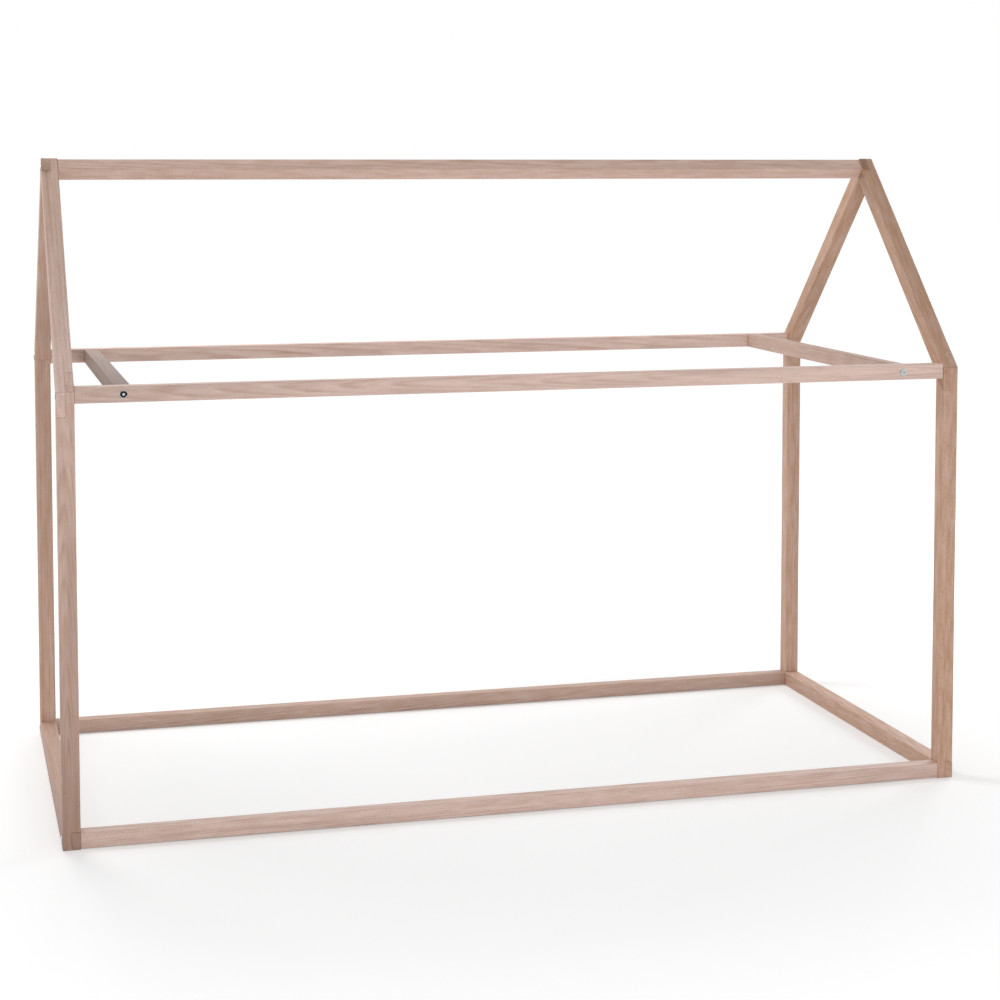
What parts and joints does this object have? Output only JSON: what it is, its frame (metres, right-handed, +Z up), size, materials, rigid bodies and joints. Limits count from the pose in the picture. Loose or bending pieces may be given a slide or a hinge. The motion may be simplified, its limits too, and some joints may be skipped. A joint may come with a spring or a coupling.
{
  "type": "house frame bed",
  "caption": "Child's bed frame of square beech bars in the outline of a house, half-lapped at the ends and bolted, open on all sides, for a mattress on the floor.",
  "frame": {"origin": "on the floor, under the middle of the bed", "axes": "+X along the bed to the right-hand end, +Y from the front to the rear, +Z up"},
  "size_m": [2.085, 0.982, 1.4738],
  "materials": {
    "beech": "planed and sanded, unfinished, pale with a pink cast",
    "bolt_steel": "bright zinc plating",
    "nut_steel": "dull zinc plating"
  },
  "bodies": {
    "root": {"left_front_post": "beech", "left_rear_post": "beech", "left_front_rafter": "beech", "left_rear_rafter": "beech", "left_end_rail": "beech", "right_front_post": "beech", "right_rear_post": "beech", "right_front_rafter": "beech", "right_rear_rafter": "beech", "right_end_rail": "beech", "front_bottom_rail": "beech", "rear_bottom_rail": "beech", "front_eave_rail": "beech", "rear_eave_rail": "beech", "ridge_rail": "beech", "left_cross_rail": "beech", "right_cross_rail": "beech", "left_end_bolts": "bolt_steel", "right_end_bolts": "bolt_steel", "front_eave_bolts": "bolt_steel", "rear_eave_bolts": "bolt_steel", "front_bottom_rail_nuts": "nut_steel", "rear_bottom_rail_nuts": "nut_steel", "front_eave_rail_nuts": "nut_steel", "rear_eave_rail_nuts": "nut_steel", "ridge_rail_nuts": "nut_steel", "left_cross_rail_nuts": "nut_steel", "right_cross_rail_nuts": "nut_steel"}
  },
  "joints": []
}
